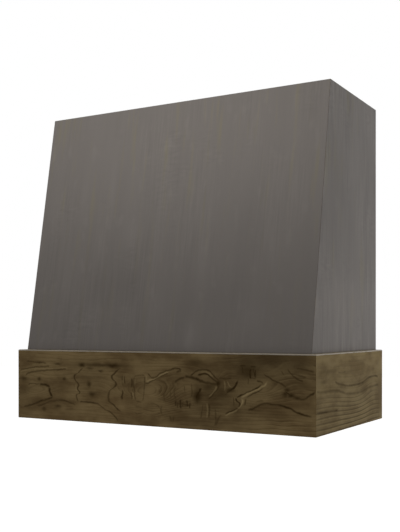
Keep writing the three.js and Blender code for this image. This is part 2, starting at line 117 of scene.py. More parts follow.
class Tree:
    """A node tree that is written one call a node."""

    def __init__(self, tree):
        self.tree = tree

    def add(self, kind, inputs=None, **settings):
        node = self.tree.nodes.new(kind)
        for name, value in settings.items():
            setattr(node, name, value)
        for name, value in (inputs or {}).items():
            self.feed(node.inputs[name], value)
        return node

    def feed(self, socket, value):
        if isinstance(value, bpy.types.NodeSocket):
            self.tree.links.new(value, socket)
        else:
            socket.default_value = value

    def math(self, operation, *values):
        return self.add("ShaderNodeMath", dict(enumerate(values)), operation=operation).outputs[0]

    def times(self, first, second):
        return self.math("MULTIPLY", first, second)

    def sum(self, *values):
        total = values[0]
        for value in values[1:]:
            total = self.math("ADD", total, value)
        return total

    def vector(self, operation, *values):
        return self.add("ShaderNodeVectorMath", dict(enumerate(values)), operation=operation).outputs[0]

    def split(self, vector):
        return self.add("ShaderNodeSeparateXYZ", {0: vector}).outputs

    def attribute(self, name, output="Fac"):
        return self.add("ShaderNodeAttribute", attribute_name=name).outputs[output]

    def noise(self, vector, scale=1.0, detail=2.0, output="Fac"):
        inputs = {"Vector": vector, "Scale": scale, "Detail": detail}
        return self.add("ShaderNodeTexNoise", inputs).outputs[output]

    def span(self, value, low, high, to_low=0.0, to_high=1.0, smooth=True):
        """Maps low..high to to_low..to_high and stops at both ends."""
        inputs = {"Value": value, "From Min": low, "From Max": high, "To Min": to_low, "To Max": to_high}
        kind = "SMOOTHSTEP" if smooth else "LINEAR"
        return self.add("ShaderNodeMapRange", inputs, interpolation_type=kind).outputs["Result"]

    def mix(self, share, first, second):
        node = self.add("ShaderNodeMix", data_type="RGBA")
        for identifier, value in (("Factor_Float", share), ("A_Color", first), ("B_Color", second)):
            socket = next(s for s in node.inputs if s.identifier == identifier)
            self.feed(socket, value)
        return next(s for s in node.outputs if s.identifier == "Result_Color")

    def scaled(self, colour, factor):
        """A colour made lighter or darker by a number that varies over the surface."""
        grey = self.add("ShaderNodeCombineXYZ", {0: factor, 1: factor, 2: factor})
        return self.vector("MULTIPLY", colour, grey.outputs[0])

    def darkened(self, colour, where, factor):
        """A colour that is made darker by a factor where a pattern is 1."""
        return self.mix(where, colour, self.scaled(colour, factor))

    def surface(self, shader, colour, roughness, relief, strength, depth=0.0004):
        """Feeds a finish's colour, roughness and fine relief, which is as deep as a pore, to its shader."""
        self.feed(shader.inputs["Base Color"], colour)
        self.feed(shader.inputs["Roughness"], roughness)
        bump = self.add("ShaderNodeBump", {"Height": relief, "Strength": strength, "Distance": depth})
        self.feed(shader.inputs["Normal"], bump.outputs["Normal"])


def new_finish(name, roughness, specular=0.5, metallic=0.0):
    """A material with an empty tree but for its shader, and the tree's writer."""
    material = bpy.data.materials.new(name)
    material.use_nodes = True
    shader = material.node_tree.nodes["Principled BSDF"]
    shader.inputs["Roughness"].default_value = roughness
    shader.inputs["Specular IOR Level"].default_value = specular
    shader.inputs["Metallic"].default_value = metallic
    return material, Tree(material.node_tree), shader


print("helpers ready; mid grey in linear light:", [round(v, 3) for v in linear(128, 128, 128)])

# %% [markdown]
# ## Floor, surroundings and lamps
# The cover hangs on a wall about 1.7 m up, over a plain pale floor. The camera and mirror reflections
# see white all round, while the light on the wood comes from a dimmer, even surround and two soft lamps.
# One lamp hangs close above the front, so it is brighter at the top than at the foot, as in the
# photograph. The other lights the right side.

# %% Floor
FLOOR_DROP = 1.68  # from the cover's bottom edge to the floor
FLOOR_REACH = 30.0
FLOOR_GLOW = 0.45
FLOOR_LIT = linear(200, 200, 200)  # what its bounced light has
FLOOR_SHOWN = linear(252, 252, 252)


def seen_directly(tree):
    """1 where the camera or a mirror reflection sees a surface, and 0 where it only lights others."""
    seen = tree.add("ShaderNodeLightPath").outputs
    return tree.math("MAXIMUM", seen["Is Camera Ray"], seen["Is Glossy Ray"])


floor_mesh = bpy.data.meshes.new("floor")
floor_height = built_box[0].z - FLOOR_DROP
corner_signs = ((-1, -1), (1, -1), (1, 1), (-1, 1))
floor_corners = [(x * FLOOR_REACH, y * FLOOR_REACH, floor_height) for x, y in corner_signs]
floor_mesh.from_pydata(floor_corners, [], [(0, 1, 2, 3)])
floor = placed("floor", floor_mesh)

floor_finish, tree, shader = new_finish("pale_floor", roughness=0.9, specular=0.1)
directly = seen_directly(tree)
tree.feed(shader.inputs["Base Color"], tree.mix(directly, FLOOR_LIT, FLOOR_SHOWN))
shader.inputs["Emission Color"].default_value = (1, 1, 1, 1)
tree.feed(shader.inputs["Emission Strength"], tree.times(directly, FLOOR_GLOW))
floor_mesh.materials.append(floor_finish)
print(f"floor at z = {floor_height:.3f} m")

# %% Surroundings
SURROUND_LEVEL = 0.62

world = bpy.data.worlds.new("studio")
world.use_nodes = True
bpy.context.scene.world = world
tree = Tree(world.node_tree)
surround = world.node_tree.nodes["Background"]
surround.inputs["Color"].default_value = (1, 1, 1, 1)
strength = tree.span(seen_directly(tree), 0, 1, SURROUND_LEVEL, 1.0, smooth=False)
tree.feed(surround.inputs["Strength"], strength)
print("surround lights at", SURROUND_LEVEL, "and shows white")


# %% Lamps
def soft_lamp(name, place, target, size, watts):
    """A square lamp of a given size in metres, aimed at a point."""
    lamp = bpy.data.lights.new(name, "AREA")
    lamp.shape = "RECTANGLE"
    lamp.size, lamp.size_y = size
    lamp.energy = watts
    holder = placed(name, lamp)
    holder.location = place
    holder.rotation_euler = (Vector(target) - Vector(place)).to_track_quat("-Z", "Y").to_euler()
    holder.visible_camera = False


soft_lamp(
    "lamp_over_front", place=(-0.04, -1.08, 0.20), target=(-0.04, -0.42, 0.60), size=(1.4, 0.4), watts=5.9
)
soft_lamp(
    "lamp_right", place=(2.4, 0.30, -0.60), target=(0.46, -0.20, -0.45), size=(1.2, 1.2), watts=7.6
)

# %% [markdown]
# ## Boards with eased arrises
# A real board's sharp corners are broken with a few strokes of sandpaper, and the narrow face catches
# the light or lets a dark line show at a joint. A bevel modifier would also round the mouths of dadoes
# and screw holes, so the boards are bevelled in mesh code instead, and only at their outermost edges:
# those whose two faces have the whole board behind them. Each board keeps a copy of its place in the
# tree as a point attribute, across, through and along the grain, so that every finish follows the grain
# on every face.

# %% Ease a board's outer arrises
MERGE = 1e-5  # corners closer than this are one
FLAT = math.radians(1)  # faces that meet at less are one face
SHARP = math.radians(20)  # edges that turn more are arrises
SHORTEST_ARRIS = 0.01
NEARLY_FLUSH = 2e-5  # how far a corner may stand proud of a face and still lie behind it
BROAD_FACE = 0.8  # a face that looks this squarely through the board is no cut edge
END_FACE = 0.7
EASE = 0.0008  # sanded arris
UP = Vector((0, 0, 1))
RIGHT = Vector((1, 0, 0))
BACK = Vector((0, 1, 0))


def outermost(edge, corners):
    """Whether the whole board lies behind both faces of an edge."""
    for face in edge.link_faces:
        height = face.normal.dot(face.verts[0].co)
        if max(face.normal.dot(corner) for corner in corners) - height > NEARLY_FLUSH:
            return False
    return len(edge.link_faces) == 2 and edge.calc_face_angle() > SHARP


def eased_copy(name):
    """The board's mesh as one closed bmesh, with its outer arrises broken and those new faces listed."""
    board = bmesh.new()
    board.from_mesh(nodes[name].data)
    bmesh.ops.remove_doubles(board, verts=board.verts, dist=MERGE)
    bmesh.ops.dissolve_limit(board, angle_limit=FLAT, verts=board.verts, edges=board.edges)
    board.normal_update()
    corners = [corner.co.copy() for corner in board.verts]
    long_edges = [edge for edge in board.edges if edge.calc_length() > SHORTEST_ARRIS]
    sharp = [edge for edge in long_edges if outermost(edge, corners)]
    made = bmesh.ops.bevel(board, geom=sharp, offset=EASE, segments=2, profile=0.5, affect="EDGES")
    board.normal_update()
    return board, set(made["faces"])


print("easing", EASE * 1000, "mm at each outer arris")


# %% Write the grain into a board
def board_piece(
    name, along, across, finish, outside=None, rounded=None, edge_finish=None, offset=(0, 0, 0)
):
    """A piece that stands for one CAD board.

    outside(normal) says which faces are stained, and rounded(normal) which get the edge's own finish.
    """
    board, eased = eased_copy(name)
    through = along.cross(across)
    low = [min(axis.dot(corner.co) for corner in board.verts) for axis in (across, through, along)]
    grain = board.verts.layers.float_vector.new("grain")
    for corner in board.verts:
        place = [axis.dot(corner.co) for axis in (across, through, along)]
        corner[grain] = Vector([p - l + o for p, l, o in zip(place, low, offset)])
    cut, arris = board.faces.layers.float.new("cut"), board.faces.layers.float.new("arris")
    end, stain = board.faces.layers.float.new("end"), board.faces.layers.float.new("stain")
    for face in board.faces:
        face[arris] = 1.0 if face in eased else 0.0
        face[cut] = 0.0 if abs(face.normal.dot(through)) > BROAD_FACE else 1.0
        face[end] = 1.0 if abs(face.normal.dot(along)) > END_FACE else 0.0
        face[stain] = 1.0 if outside is None or outside(face.normal) else 0.0
        face.material_index = 1 if rounded and rounded(face.normal) else 0
    mesh = bpy.data.meshes.new(name + "_board")
    board.to_mesh(mesh)
    board.free()
    mesh.materials.append(finish)
    if edge_finish:
        mesh.materials.append(edge_finish)
    piece = placed(name + "_board", mesh)
    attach(piece, BODY)
    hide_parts(name)
    print(f"{name}: {len(mesh.polygons)} faces, {len(eased)} of them eased")


# %% [markdown]
# ## Grey-stained maple
# The body's veneer is wiped with a thin grey stain and sealed satin. Wood takes such a stain unevenly:
# the grain shows as upright streaks, a little warmer or cooler, with a faint cross figure in places.
# Each of these is a noise stretched along the grain, from broad to fine, and together they shift the
# colour by only a few percent. Soft paler patches, at listed places, lie over them. The inner faces are
# raw veneer, and the panels' edges show the plies.

# %% Grain patterns shared by the woods
MM = 0.001


def stretched(tree, grain, across, along):
    """The grain coordinates scaled so that one unit is a pattern's size across and along the grain."""
    return tree.vector("MULTIPLY", grain, (1 / across, 1 / across, 1 / along))


def streaks(tree, grain, across, along, strength, detail=2.0):
    """A brightness that varies round nought in streaks of a given size."""
    pattern = tree.noise(stretched(tree, grain, across, along), detail=detail)
    return tree.times(tree.math("SUBTRACT", pattern, 0.5), strength)


def cross_bars(tree, grain, strength=1.0):
    """A brightness that varies round nought in short bars across the grain."""
    return streaks(tree, grain, 0.035, 0.009, strength, detail=1.0)


def cross_figure(tree, grain, strength):
    """Bars across the grain, only in some patches of the board."""
    patch = tree.span(tree.noise(stretched(tree, grain, 0.10, 0.16)), 0.50, 0.68)
    return tree.times(cross_bars(tree, grain, strength), patch)


def pores(tree, grain, across=0.0009, along=0.03):
    """Fine open lines of the grain, 1 at their middle."""
    return tree.span(tree.noise(stretched(tree, grain, across, along), detail=1.0), 0.60, 0.75)


def plies(tree, grain, count, thickness):
    """0 or 1 for the plies of a panel seen at its edge, from the grain's second coordinate."""
    through = tree.split(grain)[1]
    wave = tree.math("SINE", tree.times(through, math.pi * count / thickness))
    return tree.span(wave, -0.25, 0.25)


def bulge(tree, along, height, place, size, strength):
    """A hill (or with a negative strength a hollow) in a map, its place and size in millimetres."""
    across = tree.times(tree.math("SUBTRACT", along, place[0] * MM), 1 / (size[0] * MM))
    up = tree.times(tree.math("SUBTRACT", height, place[1] * MM), 1 / (size[1] * MM))
    square = tree.sum(tree.times(across, across), tree.times(up, up))
    return tree.times(tree.math("EXPONENT", tree.times(square, -1.0)), strength)


def gather(tree, name, how, shape, patterns, along, height):
    """The sum (ADD) or the strongest (MAXIMUM) of many patterns of one shape.

    They are kept in a node group, because Blender looks through a whole tree again at every node it gets.
    """
    if not patterns:
        return 0.0
    group = bpy.data.node_groups.new(name, "ShaderNodeTree")
    for socket, way in (("Along", "INPUT"), ("Height", "INPUT"), ("Value", "OUTPUT")):
        group.interface.new_socket(socket, in_out=way, socket_type="NodeSocketFloat")
    inner = Tree(group)
    given = inner.add("NodeGroupInput").outputs
    total = None
    for pattern in patterns:
        value = shape(inner, given["Along"], given["Height"], *pattern)
        total = value if total is None else inner.math(how, total, value)
    inner.add("NodeGroupOutput", {"Value": total})
    holder = tree.add("ShaderNodeGroup", {"Along": along, "Height": height}, node_tree=group)
    return holder.outputs["Value"]


# %% Grey-stained maple
PANEL_THICKNESS = 0.01905
STAIN = linear(105.5, 100.3, 95.8)
STAIN_WARM = linear(109, 103, 91)
RAW_MAPLE = linear(205, 182, 148)
RAW_MAPLE_DARK = linear(198, 172, 135)
PANEL_PLIES = 7


def grey_stained_maple(name, coarse, contrast, calm=0.35, clouds=(), figured=()):
    """coarse widens the streaks and contrast strengthens them: the sides' veneer has a bolder grain.

    calm is the share of the fine streaks that is left in the board's quiet patches. clouds are paler or
    darker places, and figured are places with a clear cross figure: each is (place, size, strength).
    """
    material, tree, shader = new_finish(name, roughness=0.5, specular=0.08)
    grain = tree.attribute("grain", "Vector")
    across, _, along = tree.split(grain)
    fine_lines = pores(tree, grain)
    lively = tree.span(tree.noise(stretched(tree, grain, 0.12, 0.35)), 0.38, 0.62, calm, 1.3)
    fine = tree.sum(
        streaks(tree, grain, 0.013 * coarse, 0.25, 0.20 * contrast),
        streaks(tree, grain, 0.0045 * coarse, 0.12, 0.26 * contrast),
        cross_figure(tree, grain, 0.15 + 0.12 * contrast),
    )
    blots = tree.span(tree.noise(stretched(tree, grain, 0.03, 0.07), detail=1.0), 0.58, 0.74)
    tone = tree.sum(
        1.0,
        streaks(tree, grain, 0.05 * coarse, 0.42, 0.14 * contrast),
        tree.times(fine, lively),
        tree.times(blots, 0.06),
        tree.times(fine_lines, -0.05),
        gather(tree, "clouds", "ADD", bulge, clouds, across, along),
        tree.times(cross_bars(tree, grain), gather(tree, "figured", "ADD", bulge, figured, across, along)),
    )
    warm = tree.span(tree.noise(stretched(tree, grain, 0.022 * coarse, 0.26), detail=2.0), 0.54, 0.74)
    warm = tree.times(warm, tree.span(along, 0.15, 0.50, 0.35, 1.0))
    raw = tree.scaled(tree.mix(warm, RAW_MAPLE_DARK, RAW_MAPLE), tone)
    stained = tree.scaled(tree.mix(warm, STAIN, STAIN_WARM), tone)
    colour = tree.mix(tree.attribute("stain"), raw, stained)
    layers = tree.times(plies(tree, grain, PANEL_PLIES, PANEL_THICKNESS), tree.attribute("cut"))
    colour = tree.darkened(colour, tree.times(layers, 0.45), 0.55)
    # The eased arrises are darker: stain gathered there in part, and in part painted shade that draws the
    # dark line at the mitred corner.
    colour = tree.darkened(colour, tree.times(tree.attribute("arris"), 0.5), 0.55)
    rough = tree.sum(0.46, streaks(tree, grain, 0.03, 0.2, 0.10), tree.times(fine_lines, 0.10))
    relief = tree.math("SUBTRACT", streaks(tree, grain, 0.0025, 0.08, 1.0), fine_lines)
    tree.surface(shader, colour, rough, relief, 0.25)
    print(name, "has", len(tree.tree.nodes), "nodes")
    return material


GREY_FRONT_CLOUDS = [
    ((338, 341), (26, 40), 0.085),
    ((252, 480), (12, 90), 0.065),
    ((150, 470), (14, 70), 0.060),
    ((50, 420), (28, 90), 0.045),
    ((226, 310), (14, 60), 0.065),
    ((123, 205), (16, 60), 0.070),
    ((222, 95), (24, 45), 0.075),
    ((345, 100), (32, 40), 0.055),
    ((440, 120), (22, 50), 0.055),
    ((430, 310), (12, 60), 0.055),
    ((579, 250), (13, 80), 0.075),
    ((560, 45), (24, 35), 0.085),
    ((736, 95), (38, 40), 0.055),
    ((786, 281), (18, 60), 0.070),
    ((640, 150), (90, 70), -0.045),
    ((300, 200), (80, 45), -0.045),
    ((690, 330), (60, 110), -0.035),
]
GREY_FRONT_FIGURED = [
    ((438, 495), (30, 45), 0.42),
    ((499, 514), (18, 22), 0.45),
    ((455, 615), (20, 30), 0.28),
]
GREY_SIDE_CLOUDS = [
    ((250, 340), (500, 60), 0.10),
    ((100, 560), (160, 150), -0.08),
    ((30, 250), (60, 200), -0.04),
]
GREY_FRONT = grey_stained_maple(
    "grey_maple_front",
    coarse=1.0,
    contrast=0.8,
    calm=0.12,
    clouds=GREY_FRONT_CLOUDS,
    figured=GREY_FRONT_FIGURED,
)
GREY_SIDE = grey_stained_maple("grey_maple_side", coarse=2.0, contrast=2.2, clouds=GREY_SIDE_CLOUDS)

# %% Sloped front and sides
front_corners = [corner.co for corner in nodes["front_panel"].data.vertices]
front_foot = min(front_corners, key=lambda corner: (round(corner.y, 5), corner.z))
front_top = min((c for c in front_corners if c.z > built_box[1].z - 1e-4), key=lambda corner: corner.y)
SLOPE_UP = Vector((0, front_top.y - front_foot.y, front_top.z - front_foot.z)).normalized()
print(f"the front leans back by {math.degrees(math.atan2(SLOPE_UP.y, SLOPE_UP.z)):.2f} degrees")

board_piece(
    "front_panel",
    SLOPE_UP,
    RIGHT,
    GREY_FRONT,
    outside=lambda normal: normal.y < 0.5,
)
for side, sign, offset in (("right", 1, (0, 0, 0)), ("left", -1, (4.1, 0, 3.9))):
    board_piece(
        f"{side}_side_panel",
        UP,
        BACK,
        GREY_SIDE,
        outside=lambda normal, sign=sign: normal.x * sign > -0.5,
        offset=offset,
    )

# %% [markdown]
# ## Figured band
# The band is solid maple with a wild figure, stained a dark olive brown. In a sawn board the dark lines
# are the tree's yearly rings where the saw met them: level lines where the trunk ran straight, and
# ragged uprights, eyes and swirls where it grew round a burl. A noise alone gives such lines, but not
# where this board has them, so the finish has two layers. Faint rings are the contour lines of a
# wandering map with a few bulges. Over them, the lines that make the board recognisable run through a
# few places each, in millimetres along the board and up from its bottom edge, and a small jitter makes
# them as ragged as real ones.

# %% Rings and veins
VEIN_SPREAD = 2.4  # how many half widths a vein takes to fade out sideways
VEIN_EDGE = 2.0  # the higher, the softer its edge
VEIN_FADE = 0.008  # length over which its ends thin out
LONGEST_FADE = 0.3  # the same as a share of the vein, at most


def contours(tree, level, spacing, thickness):
    """Thin lines, 1 at their middle, wherever the level passes a multiple of the spacing."""
    share = tree.math("PINGPONG", tree.times(level, 1 / spacing), 0.5)
    return tree.span(share, 0.0, thickness, 1.0, 0.0)


def vein(tree, along, height, places, thickness, strength):
    """A line of the figure through some places, in millimetres, that thins out towards both ends."""
    spans = [max(values) - min(values) for values in zip(*places)]
    upright = spans[1] > spans[0]
    run, rise = (height, along) if upright else (along, height)
    points = sorted((place[upright] * MM, place[not upright] * MM) for place in places)
    first, last = points[0][0], points[-1][0]
    low = min(point[1] for point in points)
    reach = max(max(point[1] for point in points) - low, MM)
    curve = tree.add("ShaderNodeFloatCurve")
    knots = curve.mapping.curves[0].points
    for index, point in enumerate(points):
        knot = ((point[0] - first) / (last - first), (point[1] - low) / reach)
        if index in (0, len(points) - 1):
            knots[0 if index == 0 else -1].location = knot
        else:
            knots.new(*knot)
    curve.mapping.update()
    share = tree.span(run, first, last, smooth=False)
    tree.feed(curve.inputs["Value"], share)
    middle = tree.math("MULTIPLY_ADD", curve.outputs[0], reach, low)
    distance = tree.math("ABSOLUTE", tree.math("SUBTRACT", rise, middle))
    across = tree.span(distance, 0.0, VEIN_SPREAD * thickness * MM, 1.0, 0.0)
    line = tree.math("POWER", across, VEIN_EDGE)
    from_end = tree.math("PINGPONG", share, 0.5)
    fade_share = min(VEIN_FADE / (last - first), LONGEST_FADE)
    return tree.times(line, tree.span(from_end, 0.0, fade_share, 0.0, strength))


# %% Brown-stained maple
BAND_DEEP = linear(44, 31, 11)
BAND_PALE = linear(142, 124, 88)


def brown_stained_maple(name, figure, seed):
    """A finish whose figure is a dictionary of ring settings, clouds, lines and smudges.

    Rings have a spacing, and a wander of a given length and height, in metres. Bulges, clear patches,
    clouds and smudges are (place, size, strength), and lines are (places, half width, strength), in mm.
    """
    material, tree, shader = new_finish(name, roughness=0.5, specular=0.012)
    grain = tree.attribute("grain", "Vector")
    height, depth, along = tree.split(grain)
    wood = tree.vector("ADD", grain, (seed, seed, seed))
    jitter = tree.vector("SUBTRACT", tree.noise(wood, 70.0, 3.0, output="Color"), (0.5, 0.5, 0.5))
    jitter_up, _, jitter_along = tree.split(tree.vector("MULTIPLY", jitter, (figure["ragged"],) * 3))
    line_height = tree.sum(height, jitter_up)
    line_along = tree.sum(along, jitter_along)

    wander_size, wander_height = figure["wander"]
    wander = tree.noise(stretched(tree, wood, 0.05, wander_size))
    level = tree.sum(
        height,
        tree.times(jitter_up, 0.35),
        tree.times(depth, 0.4),
        tree.times(tree.math("SUBTRACT", wander, 0.5), wander_height),
        gather(tree, "bulges", "ADD", bulge, figure["bulges"], along, height),
    )
    clear = tree.sum(
        tree.span(tree.noise(stretched(tree, wood, 0.04, 0.10)), 0.42, 0.62, *figure["faint"]),
        gather(tree, "clear_patches", "ADD", bulge, figure["clear"], along, height),
    )
    spacing = figure["spacing"]
    dark = tree.times(contours(tree, level, spacing, 0.24), clear)
    beside = tree.sum(level, 0.3 * spacing)
    pale = tree.times(tree.times(contours(tree, beside, spacing, 0.2), clear), 0.5)
    drawn = 0.0
    for group_name, lines in figure["dark_lines"].items():
        group = gather(tree, group_name, "MAXIMUM", vein, lines, line_along, line_height)
        drawn = tree.math("MAXIMUM", drawn, group)
    weight = tree.span(tree.noise(wood, 30.0, 2.0), 0.35, 0.60, 0.72, 1.05)
    dark = tree.math("MAXIMUM", dark, tree.times(drawn, weight))
    smudged = gather(tree, "smudges", "MAXIMUM", bulge, figure["smudges"], line_along, line_height)
    dark = tree.math("MAXIMUM", dark, smudged)
    drawn = gather(tree, "pale_lines", "MAXIMUM", vein, figure["pale_lines"], line_along, line_height)
    pale = tree.math("MAXIMUM", pale, drawn)

    fine_lines = pores(tree, wood, 0.0008, 0.012)
    tone = tree.sum(
        1.0,
        streaks(tree, wood, 0.012, 0.30, figure["streaky"]),
        streaks(tree, wood, 0.004, 0.18, figure["streaky"]),
        tree.times(fine_lines, -0.15),
        gather(tree, "clouds", "ADD", bulge, figure["clouds"], along, height),
    )
    cloud = tree.span(tree.noise(stretched(tree, wood, 0.04, 0.09), detail=3.0), 0.30, 0.70)
    stain = tree.mix(cloud, linear(*figure["shade"]), linear(*figure["light"]))
    colour = tree.scaled(stain, tone)
    colour = tree.mix(pale, colour, BAND_PALE)
    colour = tree.mix(tree.math("MINIMUM", dark, 0.95), colour, BAND_DEEP)
    # The eased arrises are made paler: worn wood in part, and in part a painted highlight along them.
    worn_and_highlit = tree.span(tree.noise(stretched(tree, wood, 0.02, 0.03)), 0.3, 0.6, 0.15, 0.5)
    colour = tree.mix(tree.times(tree.attribute("arris"), worn_and_highlit), colour, BAND_PALE)
    rough = tree.sum(0.48, streaks(tree, wood, 0.02, 0.2, 0.12), tree.times(dark, 0.10))
    relief = tree.math("SUBTRACT", streaks(tree, wood, 0.0025, 0.05, 0.8), fine_lines)
    tree.surface(shader, colour, rough, relief, 0.25)
    print(name, "has", len(tree.tree.nodes), "nodes")
    return material


# %% [markdown]
# The band's top edge is rounded over and shows as a light line. Those few faces get a finish of their own,
# satin rather than matt, so a strip of them mirrors the light above it. Their colour is also much paler
# and greyer than the band's: worn wood in part, and in part a painted highlight that draws most of the
# line on every side.

# %% Worn edge of the band, with a painted highlight
# much paler and greyer than the band's stain: worn wood in part, and in part a painted highlight along the
# rounded edge
WORN_WOOD_AND_HIGHLIGHT = linear(178, 168, 152)[:3]


def worn_and_highlit_edge():
    material, tree, shader = new_finish("worn_and_highlit_band_edge", roughness=0.3, specular=0.5)
    grain = tree.attribute("grain", "Vector")
    tone = tree.sum(1.0, streaks(tree, grain, 0.003, 0.05, 0.5), streaks(tree, grain, 0.02, 0.15, 0.3))
    colour = tree.scaled(WORN_WOOD_AND_HIGHLIGHT, tone)
    rough = tree.sum(0.3, streaks(tree, grain, 0.004, 0.04, 0.2))
    tree.surface(shader, colour, rough, pores(tree, grain), 0.15, depth=0.0003)
    return material


BAND_EDGE = worn_and_highlit_edge()
print(BAND_EDGE.name, "has", len(BAND_EDGE.node_tree.nodes), "nodes")

# %% Figure of the front board
FRONT_BULGES = [
    ((60, 75), (70, 26), 0.035),
    ((455, 88), (95, 36), 0.075),
    ((470, 30), (50, 16), 0.018),
    ((645, 138), (45, 20), 0.040),
    ((722, 115), (22, 22), -0.030),
    ((800, 105), (60, 25), 0.030),
    ((910, 185), (90, 30), -0.030),
]
FRONT_CLEAR = [
    ((545, 88), (62, 36), 0.16),
    ((440, 96), (26, 36), 0.10),
    ((495, 40), (50, 16), 0.22),
    ((885, 145), (75, 24), 0.10),
    ((850, 30), (110, 16), 0.20),
    ((640, 60), (60, 40), 0.15),
]
FRONT_CLOUDS = [
    ((860, 185), (130, 30), -0.40),
    ((640, 90), (90, 90), -0.20),
    ((330, 35), (200, 50), 0.16),
    ((900, 15), (90, 40), 0.14),
    ((40, 190), (140, 30), 0.06),
    ((765, 150), (50, 60), -0.20),
    ((875, 140), (90, 26), -0.20),
    ((270, 150), (45, 32), -0.14),
    ((350, 55), (45, 40), 0.10),
    ((115, 8), (70, 30), 0.14),
    ((590, 108), (35, 30), 0.12),
    ((20, 95), (60, 60), -0.08),
    ((745, 60), (45, 40), -0.08),
]
